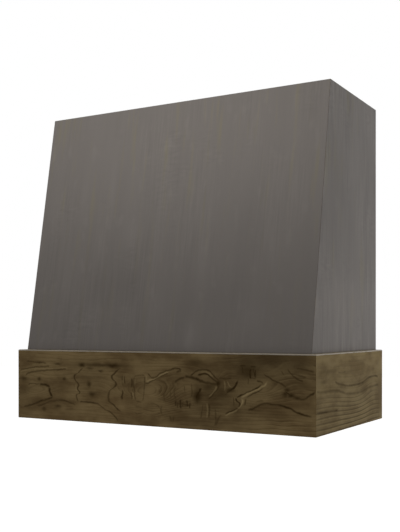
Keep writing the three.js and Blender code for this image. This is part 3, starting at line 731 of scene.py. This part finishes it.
FRONT_DARK_LINES = {
    "tongue_and_streaks": [
        ([(36, 100), (65, 103), (88, 102)], 2.0, 0.60),
        ([(80, 101), (98, 102), (112, 99), (124, 92)], 4.0, 0.90),
        ([(122, 96), (119, 86), (124, 75), (132, 64)], 4.2, 0.95),
        ([(134, 66), (114, 60), (88, 53), (57, 42), (18, 32)], 2.8, 0.85),
        ([(70, 38), (100, 44), (126, 53), (160, 57), (190, 54), (216, 46)], 2.4, 0.60),
        ([(138, 60), (160, 60), (180, 58)], 1.8, 0.40),
        ([(228, 56), (256, 57), (290, 54), (316, 40), (338, 32), (368, 4)], 2.6, 0.70),
        ([(24, 122), (53, 137), (84, 141), (129, 145), (155, 146), (184, 150)], 2.6, 0.60),
        ([(4, 142), (37, 148), (64, 151), (103, 154), (122, 157)], 2.4, 0.55),
        ([(30, 168), (60, 167), (110, 164)], 1.8, 0.50),
    ],
    "ragged_uprights": [
        ([(244, 156), (228, 142), (210, 125), (226, 105), (221, 95), (230, 83), (219, 75), (226, 56)],
         2.8, 0.80),
        ([(386, 160), (350, 140), (343, 128), (356, 112), (335, 90), (331, 70), (343, 56), (377, 33)],
         3.6, 0.78),
    ],
    "wavy_uprights": [
        ([(379, 137), (378, 120)], 1.8, 0.75),
        ([(383, 137), (386, 110)], 2.0, 0.80),
        ([(377, 98), (379, 86), (376, 76), (383, 66)], 3.0, 0.80),
        ([(402, 132), (411, 119), (408, 102)], 2.8, 0.90),
        ([(407, 94), (411, 68)], 2.0, 0.70),
    ],
    "tall_ring": [
        ([(418, 136), (416, 117), (418, 95), (420, 77), (428, 66)], 2.2, 0.50),
        ([(452, 136), (453, 118), (450, 96), (448, 76), (440, 66)], 2.2, 0.45),
        ([(452, 138), (453, 112)], 2.6, 0.65),
        ([(414, 131), (428, 137), (443, 138), (455, 132)], 2.2, 0.50),
        ([(422, 69), (434, 65), (446, 69)], 2.0, 0.45),
        ([(418, 57), (434, 50), (450, 57)], 1.8, 0.35),
        ([(416, 40), (434, 33), (452, 40)], 1.8, 0.35),
    ],
    "hook": [
        ([(461, 146), (467, 140), (474, 131)], 2.8, 0.85),
        ([(468, 131), (485, 134), (499, 142), (513, 149), (528, 154), (551, 159), (572, 157)], 2.6, 0.85),
        ([(450, 115), (461, 117), (473, 121), (485, 127), (496, 134), (511, 139), (530, 146)], 2.0, 0.75),
    ],
    "nested_arcs": [
        ([(513, 114), (503, 104), (499, 90)], 2.2, 0.45),
        ([(528, 106), (518, 94), (515, 81), (523, 68)], 2.2, 0.45),
        ([(540, 103), (535, 91), (539, 77)], 2.0, 0.40),
        ([(556, 116), (547, 100), (549, 84), (558, 73)], 2.2, 0.50),
        ([(466, 62), (488, 61), (503, 50), (512, 34)], 2.2, 0.40),
        ([(516, 60), (505, 46), (513, 30)], 2.4, 0.50),
        ([(533, 34), (538, 14)], 2.4, 0.55),
        ([(545, 34), (541, 12)], 2.4, 0.45),
        ([(545, 122), (562, 130), (582, 138)], 3.2, 0.70),
        ([(550, 148), (572, 156)], 3.4, 0.70),
        ([(581, 118), (578, 107), (584, 94)], 2.0, 0.55),
        ([(600, 124), (602, 100), (597, 82)], 2.0, 0.55),
    ],
    "row_of_ticks": [
        ([(545, 63), (562, 66), (580, 64), (604, 67)], 2.4, 0.80),
        ([(551, 75), (552, 56)], 2.4, 1.05),
        ([(559, 71), (557, 51)], 2.2, 0.80),
        ([(566, 80), (568, 49)], 2.6, 1.15),
        ([(574, 71), (573, 56)], 2.2, 0.75),
        ([(585, 78), (588, 58)], 2.4, 1.00),
        ([(596, 73), (595, 53)], 2.2, 0.85),
    ],
    "eye": [
        ([(594, 138), (606, 147), (622, 156), (636, 159), (651, 157), (662, 149), (688, 124)], 2.2, 0.85),
        ([(616, 140), (632, 147), (645, 147), (656, 141), (668, 133), (685, 121)], 2.8, 0.95),
        ([(576, 139), (600, 137), (620, 131), (637, 126), (656, 123), (680, 121)], 3.8, 1.00),
        ([(684, 128), (682, 115), (675, 105), (667, 97), (659, 87), (648, 77)], 3.2, 0.90),
        ([(700, 104), (686, 94), (675, 87), (661, 77)], 2.2, 0.60),
        ([(630, 114), (625, 101), (619, 92), (617, 82), (623, 67)], 5.0, 1.00),
        ([(678, 141), (693, 136), (713, 137), (724, 142)], 2.2, 0.55),
    ],
    "flames_below": [
        ([(652, 73), (655, 52), (650, 30)], 2.2, 0.60),
        ([(671, 60), (674, 38), (667, 10)], 2.4, 0.45),
        ([(636, 74), (632, 51), (628, 26)], 2.2, 0.45),
        ([(690, 44), (680, 30), (672, 10)], 3.2, 0.45),
    ],
    "second_eye": [
        ([(742, 134), (733, 123), (728, 116), (720, 108), (700, 101)], 4.4, 1.20),
        ([(708, 106), (700, 92)], 3.0, 0.80),
    ],
    "comb": [
        ([(741, 168), (752, 170), (764, 169)], 3.2, 1.00),
        ([(769, 171), (780, 169), (793, 168)], 2.4, 0.75),
        ([(750, 173), (753, 146)], 2.6, 0.95),
        ([(766, 165), (768, 150)], 2.2, 0.65),
        ([(776, 168), (773, 152), (776, 134)], 3.4, 1.05),
        ([(782, 168), (782, 150)], 2.0, 0.75),
        ([(791, 166), (787, 152), (791, 138)], 2.8, 0.85),
        ([(767, 145), (768, 120)], 2.2, 0.55),
        ([(750, 156), (772, 157)], 2.0, 0.60),
        ([(764, 141), (793, 140)], 2.0, 0.60),
    ],
    "curl": [
        ([(808, 125), (795, 118), (777, 108), (759, 100), (746, 95), (732, 86)], 2.2, 0.95),
        ([(733, 91), (733, 82), (738, 77), (743, 73), (742, 67), (736, 59)], 3.0, 1.00),
        ([(741, 64), (726, 56), (714, 51), (698, 45)], 2.2, 0.85),
        ([(729, 94), (725, 81), (726, 72), (730, 60)], 2.0, 0.55),
        ([(813, 116), (795, 107), (775, 97), (759, 88)], 2.0, 0.75),
        ([(760, 90), (759, 79), (754, 68)], 2.0, 0.65),
        ([(789, 134), (804, 131), (812, 124)], 2.8, 0.90),
    ],
    "right_end": [
        ([(764, 58), (784, 63), (798, 72), (812, 76), (845, 75), (882, 68), (909, 56), (944, 49)], 2.6, 0.9),
        ([(786, 76), (798, 82), (814, 83)], 2.2, 0.50),
        ([(866, 114), (880, 103), (892, 97), (906, 93), (921, 93), (934, 100), (953, 110)], 3.0, 0.85),
        ([(808, 162), (816, 147), (831, 140), (846, 133), (862, 127), (878, 116)], 2.2, 0.70),
        ([(874, 168), (885, 155), (897, 144), (922, 136)], 2.8, 0.70),
        ([(880, 155), (909, 150), (930, 142)], 2.4, 0.55),
        ([(896, 169), (918, 165), (950, 159)], 2.6, 0.60),
        ([(860, 162), (870, 148)], 2.2, 0.50),
    ],
}
FRONT_PALE_LINES = [
    ([(4, 134), (40, 144), (84, 148), (140, 150), (188, 153)], 2.2, 0.40),
    ([(50, 158), (100, 161), (160, 158)], 2.0, 0.35),
    ([(218, 110), (216, 97), (224, 84)], 1.8, 0.40),
    ([(381, 137), (381, 112)], 1.4, 0.50),
    ([(413, 94), (414, 68)], 1.4, 0.50),
    ([(421, 130), (420, 108)], 1.4, 0.40),
    ([(457, 140), (456, 122)], 2.2, 0.45),
    ([(453, 121), (473, 126), (487, 132), (502, 139), (519, 146), (532, 150)], 2.4, 0.80),
    ([(622, 151), (640, 153), (656, 147), (670, 138)], 1.8, 0.35),
    ([(677, 122), (675, 114), (671, 105), (662, 95), (652, 84)], 2.4, 0.65),
    ([(648, 73), (649, 51), (644, 30)], 2.4, 0.40),
    ([(696, 134), (700, 117), (693, 102)], 2.0, 0.50),
    ([(708, 132), (713, 120), (722, 111)], 2.0, 0.50),
    ([(824, 134), (814, 123), (801, 117), (785, 108), (765, 99), (746, 89)], 3.0, 0.90),
    ([(744, 90), (752, 82), (749, 73), (744, 66), (736, 57)], 2.8, 0.90),
    ([(741, 61), (726, 52), (714, 47), (698, 42)], 2.2, 0.70),
]
FRONT_SMUDGES = [
    ((305, 162), (95, 6), 0.70),
    ((238, 162), (15, 7), 0.95),
    ((345, 162), (36, 7), 0.90),
    ((266, 153), (14, 5), 0.60),
    ((304, 146), (11, 4), 0.75),
    ((84, 166), (16, 4), 0.70),
    ((150, 163), (14, 4), 0.75),
    ((22, 117), (16, 7), 0.70),
    ((80, 118), (8, 6), 0.75),
    ((174, 121), (8, 6), 0.75),
    ((263, 107), (7, 10), 0.75),
    ((274, 80), (14, 7), 0.75),
    ((152, 40), (14, 5), 0.70),
    ((99, 31), (8, 6), 0.60),
    ((619, 88), (13, 20), 0.92),
    ((612, 176), (26, 9), 0.45),
    ((650, 112), (22, 13), 0.58),
    ((681, 123), (9, 8), 0.95),
    ((690, 96), (34, 22), 0.48),
    ((716, 107), (14, 7), 0.85),
    ((730, 60), (16, 14), 0.25),
    ((768, 157), (27, 17), 0.62),
    ((876, 114), (9, 6), 0.80),
    ((870, 102), (8, 8), 0.80),
    ((886, 100), (10, 6), 0.90),
    ((902, 94), (14, 4), 0.80),
    ((918, 128), (16, 10), 0.40),
]
FRONT_FIGURE = {
    "shade": (88, 71, 46),
    "light": (117, 99, 68),
    "spacing": 0.0095,
    "ragged": 0.007,
    "wander": (0.20, 0.035),
    "streaky": 0.24,
    "faint": (0.04, 0.22),
    "bulges": FRONT_BULGES,
    "clear": FRONT_CLEAR,
    "clouds": FRONT_CLOUDS,
    "dark_lines": FRONT_DARK_LINES,
    "pale_lines": FRONT_PALE_LINES,
    "smudges": FRONT_SMUDGES,
}

# %% Figure of the side boards
SIDE_BULGES = [
    ((280, 90), (120, 60), 0.012),
    ((430, 100), (80, 70), -0.012),
]
SIDE_CLEAR = [
    ((240, 10), (330, 78), 0.62),
    ((514, 90), (24, 120), -0.60),
]
SIDE_CLOUDS_AND_CORNER_HIGHLIGHT = [
    ((420, 215), (520, 80), 0.26),
    ((514, 100), (26, 200), 0.10),
    # a 5 mm paler strip at the mitred front end: a painted highlight of the band's corner
    ((0, 100), (5, 300), 0.14),
]
SIDE_DARK_LINES = [
    ([(126, 130), (186, 118), (247, 113), (319, 114), (395, 127), (440, 129), (476, 122)], 3.0, 0.70),
    ([(0, 111), (65, 107), (113, 107), (178, 100), (223, 92), (302, 90), (386, 98), (480, 103)], 3.4, 0.50),
    ([(0, 58), (79, 56), (150, 54)], 3.2, 0.75),
    ([(148, 157), (178, 150), (208, 154)], 2.6, 0.55),
]
SIDE_SMUDGES = [
    ((85, 156), (60, 8), 0.35),
    ((50, 132), (30, 5), 0.30),
    ((200, 150), (50, 6), 0.30),
]
BOARD_RUN = 514.35  # length of a side board in mm


def turned_round(lines):
    """The same lines on a board that is turned end for end."""
    return [([(BOARD_RUN - along, height) for along, height in line[0]], *line[1:]) for line in lines]


RIGHT_FIGURE = {
    "shade": (92, 77, 50),
    "light": (116, 101, 70),
    "spacing": 0.0125,
    "ragged": 0.0022,
    "wander": (0.30, 0.012),
    "streaky": 0.14,
    "faint": (0.00, 0.10),
    "bulges": SIDE_BULGES,
    "clear": SIDE_CLEAR,
    "clouds": SIDE_CLOUDS_AND_CORNER_HIGHLIGHT,
    "dark_lines": {"side_lines": SIDE_DARK_LINES},
    "pale_lines": [],
    "smudges": SIDE_SMUDGES,
}
LEFT_FIGURE = RIGHT_FIGURE | {"dark_lines": {"side_lines": turned_round(SIDE_DARK_LINES)}, "smudges": []}


# %% Band finishes and boards
BAND_FRONT = brown_stained_maple("figured_maple_front", FRONT_FIGURE, seed=0.0)
BAND_RIGHT = brown_stained_maple("figured_maple_right", RIGHT_FIGURE, seed=3.0)
BAND_LEFT = brown_stained_maple("figured_maple_left", LEFT_FIGURE, seed=7.0)

for name, along, outward, finish in (
    ("band_front", RIGHT, -BACK, BAND_FRONT),
    ("band_right", BACK, RIGHT, BAND_RIGHT),
    ("band_left", BACK, -RIGHT, BAND_LEFT),
):
    board_piece(
        name,
        along,
        UP,
        finish,
        rounded=lambda normal, outward=outward: 0.1 < normal.dot(outward) < 0.995 and normal.z > 0.09,
        edge_finish=BAND_EDGE,
    )

# %% [markdown]
# ## Plywood and plain timber inside
# What the wall side, the top and the underside show is ordinary cabinet-making stock: birch plywood with
# its plies open at the edges, and planed poplar for rails and blocks. Splines and biscuits are beech.
# All of them are pale and unfinished, so grain and edge carry the look.

# %% Birch plywood, poplar and beech
def pale_wood(name, light, dark, across, along, fleck=0.0, ply_count=0):
    """An unfinished wood with growth rings of a given size across and along the grain, in metres.

    With plies, the faces that the board's thickness cuts show them.
    """
    material, tree, shader = new_finish(name, roughness=0.7, specular=0.2)
    grain = tree.attribute("grain", "Vector")
    lines = pores(tree, grain, 0.0012, 0.04)
    band = tree.noise(stretched(tree, grain, across, along), detail=3.0)
    rings = tree.span(tree.math("SINE", tree.times(band, 40.0)), -1.0, 1.0)
    colour = tree.mix(rings, light, dark)
    tone = tree.sum(
        1.0,
        streaks(tree, grain, 0.05, 0.4, 0.14),
        streaks(tree, grain, 0.004, 0.08, 0.14),
        tree.times(lines, -0.10),
        cross_figure(tree, grain, fleck),
    )
    colour = tree.scaled(colour, tone)
    if ply_count:
        layers = tree.times(plies(tree, grain, ply_count, PANEL_THICKNESS), tree.attribute("cut"))
        colour = tree.darkened(colour, tree.times(layers, 0.75), 0.55)
    else:
        colour = tree.darkened(colour, tree.times(tree.attribute("end"), 0.5), 0.6)
    colour = tree.darkened(colour, tree.times(tree.attribute("arris"), 0.3), 0.75)
    rough = tree.sum(0.66, streaks(tree, grain, 0.02, 0.2, 0.14))
    relief = tree.math("SUBTRACT", streaks(tree, grain, 0.003, 0.08, 1.0), lines)
    tree.surface(shader, colour, rough, relief, 0.3)
    return material


BIRCH = pale_wood(
    "birch_ply",
    linear(214, 188, 150),
    linear(206, 175, 133),
    across=0.10,
    along=0.9,
    fleck=0.2,
    ply_count=13,
)
POPLAR = pale_wood(
    "poplar_timber", linear(205, 187, 153), linear(194, 177, 141), across=0.05, along=0.8
)
BEECH = pale_wood(
    "beech_timber", linear(205, 160, 117), linear(189, 142, 99), across=0.03, along=0.5, fleck=0.3
)
print("pale woods:", BIRCH.name, POPLAR.name, BEECH.name)

# %% Panels and battens
RIGHT_MITRE = Vector((1, 1, 0)).normalized()
LEFT_MITRE = Vector((-1, 1, 0)).normalized()
for name, along, across, wood, offset in (
    ("lower_front_panel", RIGHT, UP, BIRCH, (1.2, 0, 0.4)),
    ("top_panel", RIGHT, BACK, BIRCH, (2.6, 0, 3.1)),
    ("insert_shelf", RIGHT, BACK, BIRCH, (5.3, 0, 1.9)),
    ("shelf_batten_front", RIGHT, UP, POPLAR, (0.7, 0.2, 0.0)),
    ("shelf_batten_back", RIGHT, UP, POPLAR, (1.9, 0.4, 2.0)),
    ("front_stiffener", RIGHT, SLOPE_UP, POPLAR, (2.8, 0.1, 4.0)),
    ("corner_block_left", UP, RIGHT, POPLAR, (3.3, 0.3, 1.0)),
    ("corner_block_right", UP, RIGHT, POPLAR, (4.6, 0.6, 3.0)),
    ("hood_cleat", RIGHT, UP, POPLAR, (5.2, 0.2, 5.0)),
    ("wall_cleat", RIGHT, UP, POPLAR, (6.1, 0.7, 2.0)),
    ("lower_back_rail", RIGHT, UP, POPLAR, (7.4, 0.5, 6.0)),
    ("left_corner_spline", SLOPE_UP, RIGHT, BEECH, (0.5, 0.2, 1.0)),
    ("right_corner_spline", SLOPE_UP, RIGHT, BEECH, (0.9, 0.6, 2.0)),
    ("right_band_biscuit_lower", UP, RIGHT_MITRE, BEECH, (1.4, 0.3, 3.0)),
    ("right_band_biscuit_upper", UP, RIGHT_MITRE, BEECH, (1.9, 0.7, 4.0)),
    ("left_band_biscuit_lower", UP, LEFT_MITRE, BEECH, (2.4, 0.1, 5.0)),
    ("left_band_biscuit_upper", UP, LEFT_MITRE, BEECH, (2.9, 0.5, 6.0)),
    ("top_glue_block_left", RIGHT, BACK, POPLAR, (8.1, 0.4, 7.0)),
    ("top_glue_block_middle", RIGHT, BACK, POPLAR, (8.7, 0.8, 8.0)),
    ("top_glue_block_right", RIGHT, BACK, POPLAR, (9.3, 0.2, 9.0)),
):
    board_piece(name, along, across, wood, offset=offset)

# %% [markdown]
# ## Screws
# Zinc-plated wood screws hold the cover together: washer heads inside, where they pull the band on, and
# sunk heads in the top and in the back edges. Every screw of a kind is the same shape, so each kind is
# modelled once and Geometry Nodes sets a copy on every seat, aims it and gives it a turn of its own,
# because no two screws are ever driven to the same angle. The mesh is a grid of rings: the thread is a
# radius that changes with the height and the angle together, which makes a true helix, and the cross
# recess is a ring that follows a cross.

# %% Shape of a wood screw
SCREW_SIDES = 24  # every 15 degrees, so that the cross recess gets its corners exactly
THREAD_PITCH = 0.0022
THREAD_ROOT = 0.00145
THREAD_CREST = 0.0021
RINGS_PER_TURN = 6
POINT_LENGTH = 0.006
FLANK_STEEPNESS = 1.6  # of the thread, so that flat root is left between its turns
PLAIN_SHANK = 0.002  # under the head
TIP_FLAT = 0.0002  # what the last ring lies short of the point
CROSS_REACH = 0.0024
CROSS_DEPTH = 0.0017
CROSS_TAPER = 0.7  # reach at the recess's bottom, as a share of that at its mouth
ANGLES = [2 * math.pi * side / SCREW_SIDES for side in range(SCREW_SIDES)]


def ring_of(radii, z):
    """A ring of corners at one height, with a radius for each angle."""
    return [(radius * math.cos(a), radius * math.sin(a), z) for radius, a in zip(radii, ANGLES)]


def thread_ring(z, length):
    """A ring of the threaded shank, which tapers to the point."""
    taper = min(1.0, (length - z) / POINT_LENGTH)
    radii = []
    for angle in ANGLES:
        turn = (z / THREAD_PITCH - angle / (2 * math.pi)) % 1.0
        crest = max(0.0, 1.0 - abs(2 * turn - 1.0) * FLANK_STEEPNESS)
        radii.append((THREAD_ROOT + (THREAD_CREST - THREAD_ROOT) * crest) * taper)
    return ring_of(radii, z)


def cross_ring(reach, z):
    """A ring along the outline of a cross."""
    half = reach * math.tan(math.radians(15))
    radii = []
    for angle in ANGLES:
        c, s = max(abs(math.cos(angle)), 1e-9), max(abs(math.sin(angle)), 1e-9)
        radii.append(max(min(reach / c, half / s), min(half / c, reach / s)))
    return ring_of(radii, z)


def wood_screw(name, length, head):
    """A screw that points along +Z from its seat at z = 0. head lists (radius, z) from the shank up."""
    top = head[-1][1]
    threaded = length - PLAIN_SHANK
    steps = round(threaded / THREAD_PITCH * RINGS_PER_TURN)
    heights = [length - TIP_FLAT - threaded * step / steps for step in range(steps + 1)]
    rings = [thread_ring(z, length) for z in heights]
    rings += [ring_of([radius] * SCREW_SIDES, z) for radius, z in head]
    rings += [cross_ring(CROSS_REACH, top), cross_ring(CROSS_REACH * CROSS_TAPER, top + CROSS_DEPTH)]
    screw = bmesh.new()
    loops = [[screw.verts.new(place) for place in ring] for ring in rings]
    for lower, upper in zip(loops, loops[1:]):
        for side in range(SCREW_SIDES):
            ahead = (side + 1) % SCREW_SIDES
            screw.faces.new((lower[side], lower[ahead], upper[ahead], upper[side]))
    for loop, z in ((loops[0], length), (loops[-1], top + CROSS_DEPTH)):
        tip = screw.verts.new((0, 0, z))
        for side in range(SCREW_SIDES):
            screw.faces.new((loop[side], loop[(side + 1) % SCREW_SIDES], tip))
    bmesh.ops.recalc_face_normals(screw, faces=screw.faces)
    mesh = bpy.data.meshes.new(name)
    screw.to_mesh(mesh)
    screw.free()
    mesh.shade_smooth()
    mesh.set_sharp_from_angle(angle=math.radians(40))
    print(f"{name}: {len(mesh.polygons)} faces")
    return bpy.data.objects.new(name, mesh)


# %% Zinc plating
ZINC_COOL = linear(176, 178, 182)
ZINC_WARM = linear(206, 204, 196)
ZINC_SCUFFED = linear(120, 118, 112)


def zinc_plate():
    material, tree, shader = new_finish("zinc_plate", roughness=0.34, specular=0.5, metallic=1.0)
    place = tree.add("ShaderNodeTexCoord").outputs["Object"]
    cloud = tree.span(tree.noise(place, 260.0, 3.0), 0.35, 0.65)
    bright = tree.mix(cloud, ZINC_COOL, ZINC_WARM)
    scuffs = tree.span(tree.noise(place, 1400.0, 2.0), 0.60, 0.75)
    colour = tree.mix(tree.times(scuffs, 0.4), bright, ZINC_SCUFFED)
    rough = tree.span(tree.noise(place, 500.0, 2.0), 0.3, 0.7, 0.28, 0.46)
    tree.surface(shader, colour, rough, scuffs, 0.2, depth=0.0001)
    return material


ZINC = zinc_plate()
print(ZINC.name, "has", len(ZINC.node_tree.nodes), "nodes")


# %% Geometry Nodes tree that sets screws on their seats
def screw_setting_tree():
    """Input: a mesh of points, each with its aim. Output: a screw at each, as one real mesh."""
    group = bpy.data.node_groups.new("screws_on_seats", "GeometryNodeTree")
    for socket, way, kind in (
        ("Seats", "INPUT", "Geometry"),
        ("Screw", "INPUT", "Object"),
        ("Finish", "INPUT", "Material"),
        ("Turn Seed", "INPUT", "Int"),
        ("Screws", "OUTPUT", "Geometry"),
    ):
        group.interface.new_socket(socket, in_out=way, socket_type="NodeSocket" + kind)
    tree = Tree(group)
    given = tree.add("NodeGroupInput").outputs
    shape = tree.add("GeometryNodeObjectInfo", {"Object": given["Screw"]}).outputs["Geometry"]
    aim = tree.add("GeometryNodeInputNamedAttribute", {"Name": "aim"}, data_type="FLOAT_VECTOR")
    aimed = tree.add("FunctionNodeAlignRotationToVector", {"Vector": aim.outputs["Attribute"]}, axis="Z")
    angle = tree.add("FunctionNodeRandomValue", {"Seed": given["Turn Seed"]}, data_type="FLOAT")
    angle.inputs[2].default_value = 0.0
    angle.inputs[3].default_value = math.tau
    spin = tree.add("FunctionNodeAxisAngleToRotation", {"Axis": (0.0, 0.0, 1.0), "Angle": angle.outputs[1]})
    turned = tree.add(
        "FunctionNodeRotateRotation",
        {"Rotation": aimed.outputs[0], "Rotate By": spin.outputs[0]},
        rotation_space="LOCAL",
    )
    copies = tree.add(
        "GeometryNodeInstanceOnPoints",
        {"Points": given["Seats"], "Instance": shape, "Rotation": turned.outputs[0]},
    )
    real = tree.add("GeometryNodeRealizeInstances", {"Geometry": copies.outputs[0]})
    plated = tree.add("GeometryNodeSetMaterial", {"Geometry": real.outputs[0], "Material": given["Finish"]})
    tree.add("NodeGroupOutput", {"Screws": plated.outputs[0]})
    return group


SCREWS_ON_SEATS = screw_setting_tree()
print("inputs:", [item.name for item in SCREWS_ON_SEATS.interface.items_tree if item.in_out == "INPUT"])


# %% Find the seats and set the screws
def seats_of(prefix, aim, head_height):
    """The seats of all CAD screws whose names start alike, with the direction that they point in."""
    found = []
    for name in sorted(nodes):
        if name.startswith(prefix):
            low, high = (Vector(corner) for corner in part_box(name))
            middle = (low + high) / 2
            reach = (high - low).dot(Vector(abs(value) for value in aim)) / 2
            found.append((name, middle - aim * (reach - head_height), aim))
    return found


def set_screws(piece_name, shape, seats, turn_seed):
    points = bpy.data.meshes.new(piece_name)
    points.from_pydata([place for _, place, _ in seats], [], [])
    aims = points.attributes.new("aim", "FLOAT_VECTOR", "POINT")
    aims.data.foreach_set("vector", [value for _, _, aim in seats for value in aim])
    holder = placed(piece_name, points)
    setting = holder.modifiers.new("setting", "NODES")
    setting.node_group = SCREWS_ON_SEATS
    values = {"Screw": shape, "Finish": ZINC, "Turn Seed": turn_seed}
    for item in SCREWS_ON_SEATS.interface.items_tree:
        if item.name in values:
            setting[item.identifier] = values[item.name]
    bpy.context.view_layer.update()
    graph = bpy.context.evaluated_depsgraph_get()
    made = bpy.data.meshes.new_from_object(holder.evaluated_get(graph))
    holder.modifiers.remove(setting)
    holder.data = made
    bpy.data.meshes.remove(points)
    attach(holder, BODY)
    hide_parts(*[name for name, _, _ in seats])
    print(f"{piece_name}: {len(seats)} screws, {len(made.polygons)} faces")


WASHER_HEAD = [
    (0.0021, 0.0),
    (0.0054, 0.0),
    (0.0055, -0.0004),
    (0.0049, -0.0009),
    (0.0040, -0.0019),
    (0.0032, -0.0026),
]
SUNK_HEAD = [(0.0021, 0.0030), (0.0023, 0.0026), (0.0042, 0.0006), (0.0042, 0.0002), (0.0040, 0.0)]
WASHER_HEAD_HEIGHT = -WASHER_HEAD[-1][1]
BAND_SCREW_LENGTH = 0.03175
CLEAT_SCREW_LENGTH = 0.0508
END_SCREW_LENGTH = 0.04445
FORWARD = Vector((0, -1, 0))
DOWN = Vector((0, 0, -1))

band_seats = seats_of("band_front_screw", FORWARD, WASHER_HEAD_HEIGHT)
band_seats += seats_of("band_right_screw", RIGHT, WASHER_HEAD_HEIGHT)
band_seats += seats_of("band_left_screw", -RIGHT, WASHER_HEAD_HEIGHT)
end_seats = seats_of("cleat_end_screw", FORWARD, 0.0) + seats_of("rail_end_screw", FORWARD, 0.0)
cleat_seats = seats_of("cleat_screw_", DOWN, 0.0)
for name, length, head, seats, turn_seed in (
    ("band_screw", BAND_SCREW_LENGTH, WASHER_HEAD, band_seats, 3),
    ("cleat_screw", CLEAT_SCREW_LENGTH, SUNK_HEAD, cleat_seats, 5),
    ("end_screw", END_SCREW_LENGTH, SUNK_HEAD, end_seats, 8),
):
    set_screws(name + "s", wood_screw(name, length, head), seats, turn_seed)
